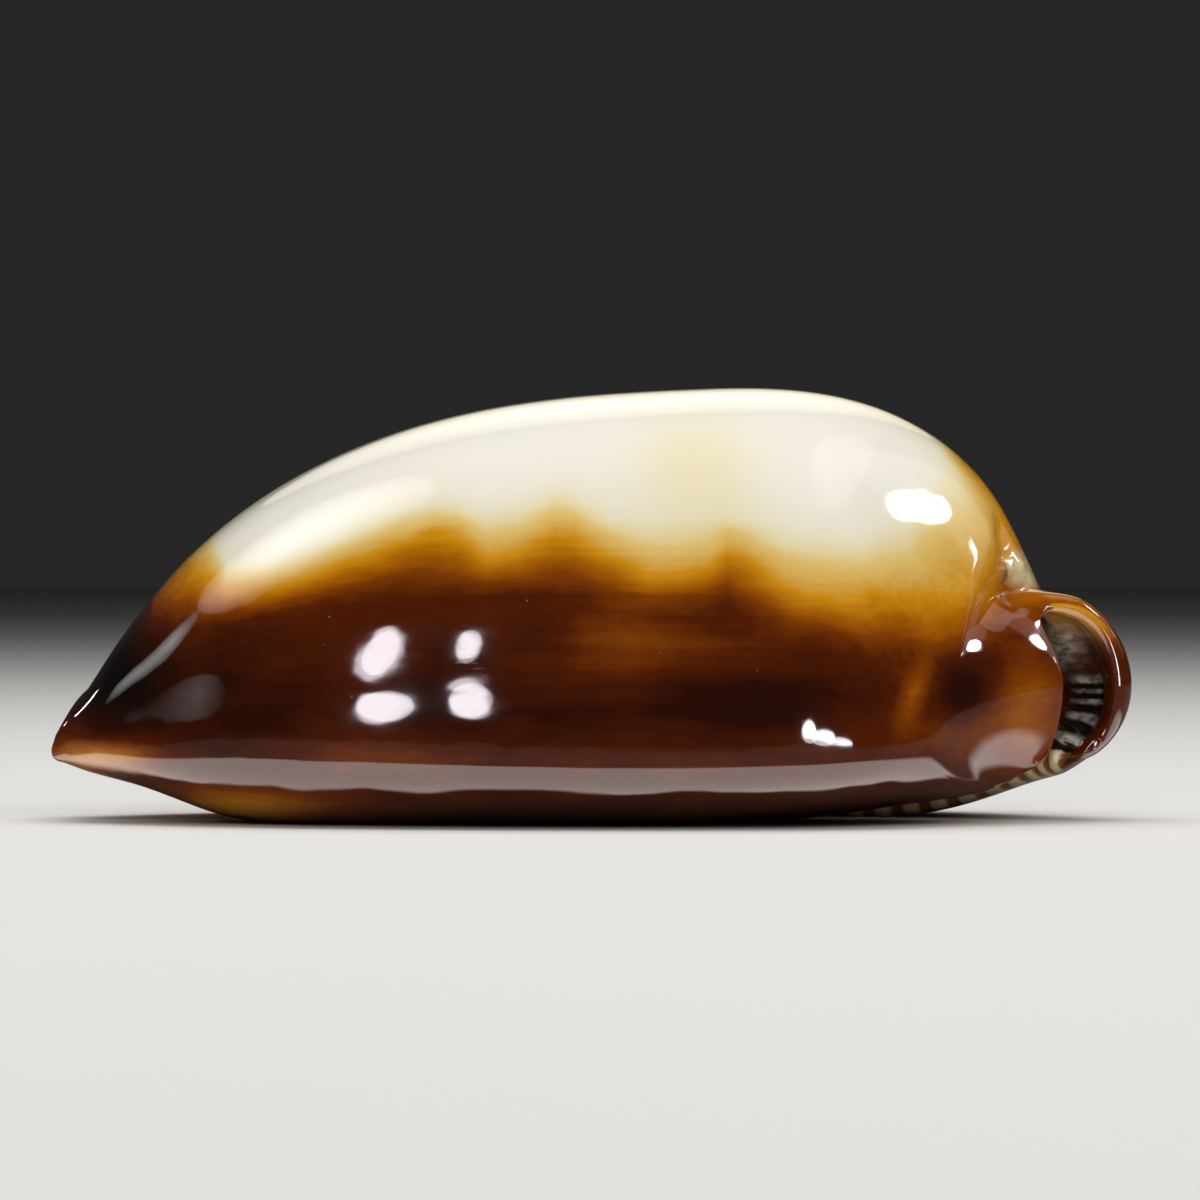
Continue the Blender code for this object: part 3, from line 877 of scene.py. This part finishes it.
    def enamel_colour(self, bench: NodeBench) -> bpy.types.NodeSocket:
        """Return the colour of the enamel, with its worn flecks, the callus and the fold's painted shade.
        """
        colour = bench.ramp(self.thickness(bench), self.pigment_stops)
        cells = bench.stretched((self.fleck_cell, self.fleck_cell, self.fleck_cell))
        fleck = bench.add("ShaderNodeTexVoronoi", {"Vector": cells, "Scale": 1.0}, feature="F1")
        speck = bench.span(fleck.outputs["Distance"], *self.fleck_edge)
        worn = bench.math("MULTIPLY", speck, bench.span(bench.attribute("pigment"), *self.fleck_from))
        colour = bench.blend(worn, colour, linear(*self.fleck_colour))
        veined = bench.span(bench.noise(*self.vein_noise), *self.vein_range)
        callus = bench.math("MULTIPLY", bench.attribute("callus"), veined)
        colour = bench.blend(callus, colour, linear(*self.callus_colour))
        # Painted shade darkens the line of the fold.
        crease = bench.math("MULTIPLY", bench.attribute("crease"), self.painted_crease_shade_strength)
        return bench.blend(crease, colour, linear(*self.painted_crease_shade_colour))

    def with_ear(self, bench: NodeBench, colour: bpy.types.NodeSocket) -> bpy.types.NodeSocket:
        """Return the colour with the ear's pale cloud, made stronger as painted light against the shade in
        the ear, and its teeth laid over it.
        """
        wisps = bench.span(bench.noise(*self.wisp_noise), *self.wisp_range)
        # Painted light: the pale cloud is strengthened against the shade in the ear.
        strong = bench.math("MULTIPLY", wisps, self.cloud_painted_light_strength)
        cloud = bench.math("MULTIPLY", bench.attribute("cloud"), strong)
        colour = bench.blend(cloud, colour, linear(*self.cloud_colour))
        ridge = bench.math("MULTIPLY", bench.span(bench.attribute("ear_tooth"), *self.ridge_edge), wisps)
        ear = bench.blend(ridge, linear(*self.ear_groove), linear(*self.ear_colour))
        return bench.blend(bench.attribute("ear"), colour, ear)

    def gloss(self, bench: NodeBench, scratches: bpy.types.NodeSocket) -> bpy.types.NodeSocket:
        """Return the roughness, higher in scratches, between teeth and inside."""
        haze = bench.span(bench.noise(*self.haze_noise), *self.haze_range)
        rough = bench.math("ADD", haze, self.roughness)
        rough = bench.math("MULTIPLY_ADD", scratches, self.scratch_roughness, rough)
        rough = bench.math("MULTIPLY_ADD", bench.attribute("inside"), self.inside_roughness, rough)
        return bench.math("MULTIPLY_ADD", bench.attribute("teeth"), self.teeth_roughness, rough,
                          clamp=True)

    def relief(self, bench: NodeBench, scratches: bpy.types.NodeSocket) -> bpy.types.NodeSocket:
        """Return the surface direction with slow waves and fine scratches."""
        wave = bench.math("MULTIPLY", bench.noise(*self.wave_noise), self.wave_height * MM)
        height = bench.math("MULTIPLY_ADD", scratches, -self.scratch_height * MM, wave)
        return bench.add("ShaderNodeBump", {"Height": height, "Strength": 1.0, "Distance": 1.0}).outputs[0]


@dataclass
class CowrieShell:
    """The whole shell: its grid, its pigment and its finish."""

    form: ShellForm
    finish: ShellFinish
    callus_centre: tuple = (28.0, -2.0, 16.3)
    callus_reach: tuple = (2.2, 3.4, 1.4)
    callus_edge: tuple = (-1.2, -0.4)
    ear_painted_lightening: float = 0.2
    side_blend: tuple = (-3.5, 0.5)
    back_line: float = 0.5
    back_width: float = 3.5
    back_height: tuple = (15.0, 20.0)
    back_tint: float = 0.08
    base_height: tuple = (0.4, 2.6)
    base_pigment: float = 0.62
    base_share: float = 0.2

    def attributes(self, grid: ShellGrid) -> dict[str, np.ndarray]:
        """Return every number that the finish reads at the points of the grid.

        Args:
            grid: The wall's points.

        Returns:
            Named grids of numbers.
        """
        values = grid.masks()
        points = grid.points
        x, y, z = points[..., 0], points[..., 1], points[..., 2]
        near, far = NEAR_COLOURS.pigment(x, z), FAR_COLOURS.pigment(x, z)
        # The ear's inner face above its teeth loses pigment: partly its own paler colour, partly painted
        # light against the shade in the ear.
        base = mix(near, far, ease(y, *self.side_blend)) - self.ear_painted_lightening * grid.ear_painted_light()
        back = bell(y - self.back_line, self.back_width) * ease(z, *self.back_height)
        base = np.clip(base + self.back_tint * back, 0.0, 1.0)
        under = self.base_share * (1.0 - ease(z, *self.base_height))
        values["pigment"] = mix(base, np.maximum(base, self.base_pigment), under)
        away = (points - self.callus_centre) / self.callus_reach
        callus = ease(-np.linalg.norm(away, axis=-1), *self.callus_edge)
        callus[:, grid.outer_count:] = 0.0
        values["callus"] = callus
        return values

    def build(self) -> bpy.types.Object:
        """Build the shell's mesh and give it its finish.

        Returns:
            The shell object, at the origin.
        """
        grid = ShellGrid(self.form)
        faces = grid.faces()
        points = grid.fitted().reshape(-1, 3)
        corner = points[faces]
        doubled = np.cross(corner[:, 2] - corner[:, 0], corner[:, 3] - corner[:, 1])
        if np.sum(doubled * corner.mean(axis=1)) < 0.0:
            faces = faces[:, ::-1]
        used, compact = np.unique(faces, return_inverse=True)
        mesh = bpy.data.meshes.new("cowrie_shell")
        mesh.from_pydata(points[used].tolist(), [], compact.reshape(-1, 4).tolist())
        for name, values in self.attributes(grid).items():
            layer = mesh.attributes.new(name, "FLOAT", "POINT")
            layer.data.foreach_set("value", values.reshape(-1)[used].astype(np.float32))
        mesh.materials.append(self.finish.material())
        mesh.shade_smooth()
        shell = bpy.data.objects.new("cowrie_shell", mesh)
        bpy.context.scene.collection.objects.link(shell)
        return shell


class Use(Enum):
    """What a lamp does, as whether it lights surfaces and whether they mirror it."""

    LIGHT = (True, False)
    MIRROR = (False, True)


class Shape(Enum):
    """The outline of a lamp, by Blender's name."""

    BOX = "RECTANGLE"
    OVAL = "ELLIPSE"


@dataclass(frozen=True)
class Lamp:
    """One flat lamp, placed by its direction from a point on the shell.

    The point is in millimetres, and the lamp's size and distance are in metres.
    """

    name: str
    target: tuple
    azimuth: float
    height: float
    size: tuple
    radiance: float
    distance: float = 0.6
    use: Use = Use.MIRROR
    shape: Shape = Shape.OVAL
    colour: tuple = (1.0, 1.0, 1.0)
    spread: float = 180.0

    def build(self) -> bpy.types.Object:
        """Build the lamp, facing its target.

        The azimuth is 0 towards the camera and grows towards the rear end, and the
        height is an angle over the horizon. The power is the radiance times pi times
        the area.

        Returns:
            The lamp object.
        """
        data = bpy.data.lights.new(self.name, "AREA")
        data.shape = self.shape.value
        data.size, data.size_y = self.size
        data.energy = self.radiance * np.pi * self.size[0] * self.size[1]
        data.color = self.colour
        data.spread = np.radians(self.spread)
        lamp = bpy.data.objects.new(self.name, data)
        turn, rise = np.radians(self.azimuth), np.radians(self.height)
        way = Vector((np.sin(turn) * np.cos(rise), -np.cos(turn) * np.cos(rise), np.sin(rise)))
        lamp.location = Vector(self.target) * MM + way * self.distance
        lamp.rotation_mode = "QUATERNION"
        lamp.rotation_quaternion = way.to_track_quat("Z", "Y")
        lamp.visible_diffuse, lamp.visible_glossy = self.use.value
        lamp.visible_camera = False
        bpy.context.scene.collection.objects.link(lamp)
        return lamp


WINDOW_LIGHT = (1.0, 0.94, 1.0)


@dataclass
class Studio:
    """The pale floor, the dim room and the soft lamps."""

    floor_radius: float = 3.0
    floor_corners: int = 96
    floor_colour: tuple = (0.74, 0.73, 0.71)
    floor_in_gloss: float = 0.2
    glow: float = 2.5
    glow_colour: tuple = (1.0, 0.89, 0.86)
    glow_inner: tuple = (0.0, 33.0, 16.1)
    glow_inner_edge: tuple = (0.98, 1.02)
    glow_outer: tuple = (8.0, 52.0, 31.0)
    glow_outer_edge: tuple = (0.97, 1.03, 1.0, 0.0)
    glow_waves: tuple = (9.0, 9.0, 9.0)
    glow_swing: float = 0.24
    glow_away: tuple = (-0.8, -0.4)
    glow_level: tuple = (0.3, 0.42)
    room: float = 0.02
    lamps: tuple = (
        Lamp("top_softbox", (0.0, 0.0, 20.0), 180.0, 84.0, (0.62, 0.5), 3.1, 0.55,
             Use.LIGHT, Shape.BOX),
        Lamp("back_card", (0.0, 0.0, 20.0), 180.0, 32.0, (0.6, 0.6), 0.08, 0.8,
             colour=(1.0, 0.95, 0.78), spread=50.0),
        Lamp("front_fill", (0.0, -10.0, 10.0), 0.0, 30.0, (0.7, 0.4), 2.0, 0.7,
             Use.LIGHT, Shape.BOX),
        Lamp("right_fill", (20.0, -8.0, 12.0), 68.0, 34.0, (0.3, 0.3), 3.0, 0.6,
             Use.LIGHT, Shape.BOX, (1.0, 0.95, 0.86)),
        Lamp("window_upper_left", (-12.7, -15.7, 11.0), -31.0, 19.0, (0.051, 0.109), 10.0,
             colour=WINDOW_LIGHT),
        Lamp("window_upper_right", (-7.5, -16.7, 11.3), -18.4, 20.0, (0.04, 0.08), 10.0,
             colour=WINDOW_LIGHT),
        Lamp("window_lower_left", (-12.9, -16.2, 7.4), -28.8, 7.6, (0.081, 0.066), 10.0,
             colour=WINDOW_LIGHT),
        Lamp("window_lower_right", (-7.6, -17.1, 8.2), -17.3, 9.0, (0.066, 0.07), 10.0,
             colour=WINDOW_LIGHT),
        Lamp("right_lamp", (20.6, -8.9, 20.0), 102.0, 34.0, (0.075, 0.1), 14.0),
        Lamp("right_small", (24.1, -7.0, 17.4), 106.0, 21.0, (0.02, 0.045), 9.0, shape=Shape.BOX),
        Lamp("right_card", (24.0, -8.0, 14.0), 112.0, 32.0, (0.22, 0.5), 0.05,
             colour=(1.0, 0.9, 0.88), spread=60.0),
        Lamp("high_right_card", (27.0, -6.0, 12.0), 97.0, 60.0, (0.4, 0.18), 0.06, 0.5,
             colour=(1.0, 0.94, 0.9), spread=60.0),
        Lamp("low_lamp", (14.8, -16.0, 5.2), 18.0, 3.4, (0.05, 0.06), 14.0),
        Lamp("low_middle", (14.8, -16.0, 5.2), 24.0, 1.7, (0.11, 0.044), 14.0),
        Lamp("low_tail", (14.8, -16.0, 5.2), 33.0, 0.6, (0.17, 0.02), 12.0),
        Lamp("left_softbox", (-22.4, -11.1, 14.4), -94.0, 52.0, (0.5, 0.44), 0.15, spread=46.0),
        Lamp("left_strip", (-22.4, -11.1, 14.4), -97.0, 42.0, (0.14, 0.5), 2.4, 0.6,
             Use.LIGHT, Shape.BOX),
        Lamp("left_streak", (-28.0, -8.0, 10.5), -98.0, 25.0, (0.12, 0.16), 0.01, spread=15.0),
        Lamp("left_low", (-26.0, -10.0, 7.5), -71.0, 11.0, (0.26, 0.12), 0.007, spread=24.0),
        Lamp("tip_lamp", (-33.0, -4.0, 8.2), -131.0, 18.0, (0.03, 0.03), 9.0),
    )

    def build(self) -> None:
        """Build the floor, the room's light and the lamps."""
        self.floor()
        self.room_light()
        for lamp in self.lamps:
            lamp.build()

    def floor(self) -> bpy.types.Object:
        """Build the floor as a round plate.

        Returns:
            The floor object.
        """
        angle = np.linspace(0.0, 2.0 * np.pi, self.floor_corners, endpoint=False)
        rim = np.stack([np.cos(angle), np.sin(angle), 0.0 * angle], -1) * self.floor_radius
        mesh = bpy.data.meshes.new("floor")
        mesh.from_pydata(rim.tolist(), [], [list(range(len(rim)))])
        mesh.materials.append(self.floor_material())
        floor = bpy.data.objects.new("floor", mesh)
        bpy.context.scene.collection.objects.link(floor)
        return floor

    def floor_material(self) -> bpy.types.Material:
        """Return the floor's material, plain to the eye and with a glow in the shell's polish."""
        material = bpy.data.materials.new("pale_floor")
        material.use_nodes = True
        material.cycles.emission_sampling = "NONE"
        tree = material.node_tree
        tree.nodes.remove(tree.nodes["Principled BSDF"])
        bench = NodeBench(tree)
        plain = bench.add("ShaderNodeBsdfDiffuse", {"Color": (*self.floor_colour, 1.0)})
        glow = bench.add("ShaderNodeEmission", {
            "Color": (*self.glow_colour, 1.0), "Strength": self.glow_strength(bench)})
        mirrored = bench.add("ShaderNodeLightPath").outputs["Is Glossy Ray"]
        shader = bench.add("ShaderNodeMixShader", {
            0: bench.math("MULTIPLY", mirrored, 1.0 - self.floor_in_gloss),
            1: plain.outputs[0], 2: glow.outputs[0]})
        tree.links.new(shader.outputs[0], tree.nodes["Material Output"].inputs[0])
        return material

    def glow_strength(self, bench: NodeBench) -> bpy.types.NodeSocket:
        """Return the strength of the glow at a point of the floor.

        The glow lies between two ovals round the shell, whose edges are soft and a
        little wavy. It is left out of glancing reflections, whose rays run away from
        the camera or reach the floor at a low angle.
        """
        swing = bench.math("SUBTRACT", bench.noise(self.glow_waves), 0.5)
        inside, outside = (
            bench.math("MULTIPLY_ADD", swing, self.glow_swing, self.oval(bench, *oval))
            for oval in (self.glow_inner, self.glow_outer))
        incoming = bench.add("ShaderNodeNewGeometry").outputs["Incoming"]
        ray = bench.add("ShaderNodeSeparateXYZ", {0: incoming}).outputs
        limits = ((inside, self.glow_inner_edge), (outside, self.glow_outer_edge),
                  (ray["Y"], self.glow_away), (ray["Z"], self.glow_level))
        strength = self.glow
        for value, edge in limits:
            strength = bench.math("MULTIPLY", bench.span(value, *edge), strength)
        return strength

    @staticmethod
    def oval(bench: NodeBench, centre: float, half_x: float, half_y: float) -> bpy.types.NodeSocket:
        """Return how far out a point of the floor lies from an oval's centre.

        Args:
            bench: Where the nodes go.
            centre: Place of the centre along the shell, in millimetres.
            half_x: Half length of the oval, in millimetres.
            half_y: Half breadth of the oval, in millimetres.

        Returns:
            The distance, 1 on the oval and less inside it.
        """
        place = bench.add("ShaderNodeTexCoord").outputs["Object"]
        moved = bench.add("ShaderNodeMapping", {
            "Vector": place, "Location": (-centre / half_x, 0.0, 0.0),
            "Scale": (1.0 / (MM * half_x), 1.0 / (MM * half_y), 0.0)}).outputs[0]
        return bench.add("ShaderNodeVectorMath", {0: moved}, operation="LENGTH").outputs["Value"]

    def room_light(self) -> bpy.types.World:
        """Make the dim even light of the room.

        Returns:
            The world that the scene uses.
        """
        world = bpy.data.worlds.new("room")
        world.use_nodes = True
        background = world.node_tree.nodes["Background"]
        background.inputs["Color"].default_value = (self.room, self.room, self.room, 1.0)
        bpy.context.scene.world = world
        return world


@dataclass(frozen=True)
class StudioCamera:
    """A long lens at the shell's side, level with its middle."""

    lens: float = 200.0
    sensor: float = 36.0
    distance: float = 0.434
    aim: tuple = (0.49, 0.0, 14.3)
    height: float = 0.4

    def build(self) -> bpy.types.Object:
        """Build the camera and make it the scene's own.

        Returns:
            The camera object.
        """
        data = bpy.data.cameras.new("side_camera")
        data.lens, data.sensor_width = self.lens, self.sensor
        camera = bpy.data.objects.new("side_camera", data)
        rise = np.radians(self.height)
        back = Vector((0.0, -np.cos(rise), np.sin(rise)))
        camera.location = Vector(self.aim) * MM + back * self.distance
        camera.rotation_euler = back.to_track_quat("Z", "Y").to_euler()
        bpy.context.scene.collection.objects.link(camera)
        bpy.context.scene.camera = camera
        return camera


def main() -> None:
    """Build the shell and its studio, and report each piece."""
    logging.basicConfig(level=logging.INFO, format="%(message)s")
    StudioCamera().build()
    Studio().build()
    shell = CowrieShell(ShellForm(), ShellFinish()).build()
    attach(shell, "root")
    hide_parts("shell")
    LOG.info("%s has %d faces", shell.name, len(shell.data.polygons))
    bpy.context.scene.view_settings.view_transform = "Standard"
    bpy.context.view_layer.update()


if __name__ == "__main__":
    main()
